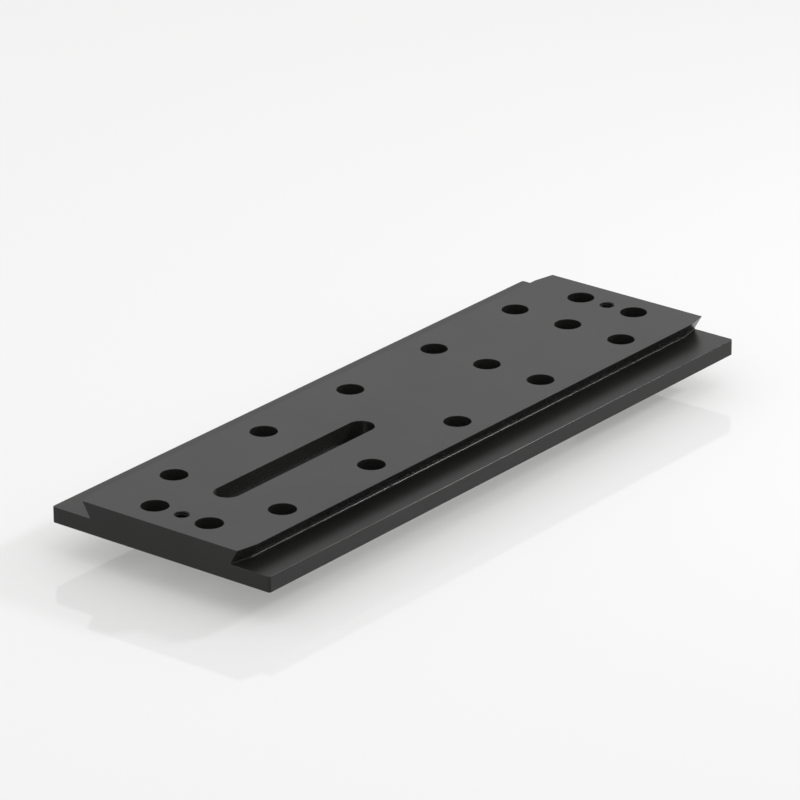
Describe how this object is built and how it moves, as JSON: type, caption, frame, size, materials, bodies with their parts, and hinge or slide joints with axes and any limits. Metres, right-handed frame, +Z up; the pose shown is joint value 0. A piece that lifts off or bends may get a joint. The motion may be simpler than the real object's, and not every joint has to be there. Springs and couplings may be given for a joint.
{
  "type": "dovetail bar",
  "caption": "Flat mounting bar with a wide undercut dovetail tongue between two flanges, sunk screw holes in rows, a long stepped slot and tapered lead-ins.",
  "frame": {"origin": "centre of the flat underside", "axes": "+X along the bar, away from the end nearer the slot; +Y across the bar; +Z up, out of the dovetail tongue's top face"},
  "size_m": [0.2794, 0.1016, 0.0122],
  "materials": {
    "anodised_aluminium": "satin black anodised"
  },
  "bodies": {
    "root": {"dovetail_bar": "anodised_aluminium"}
  },
  "joints": []
}
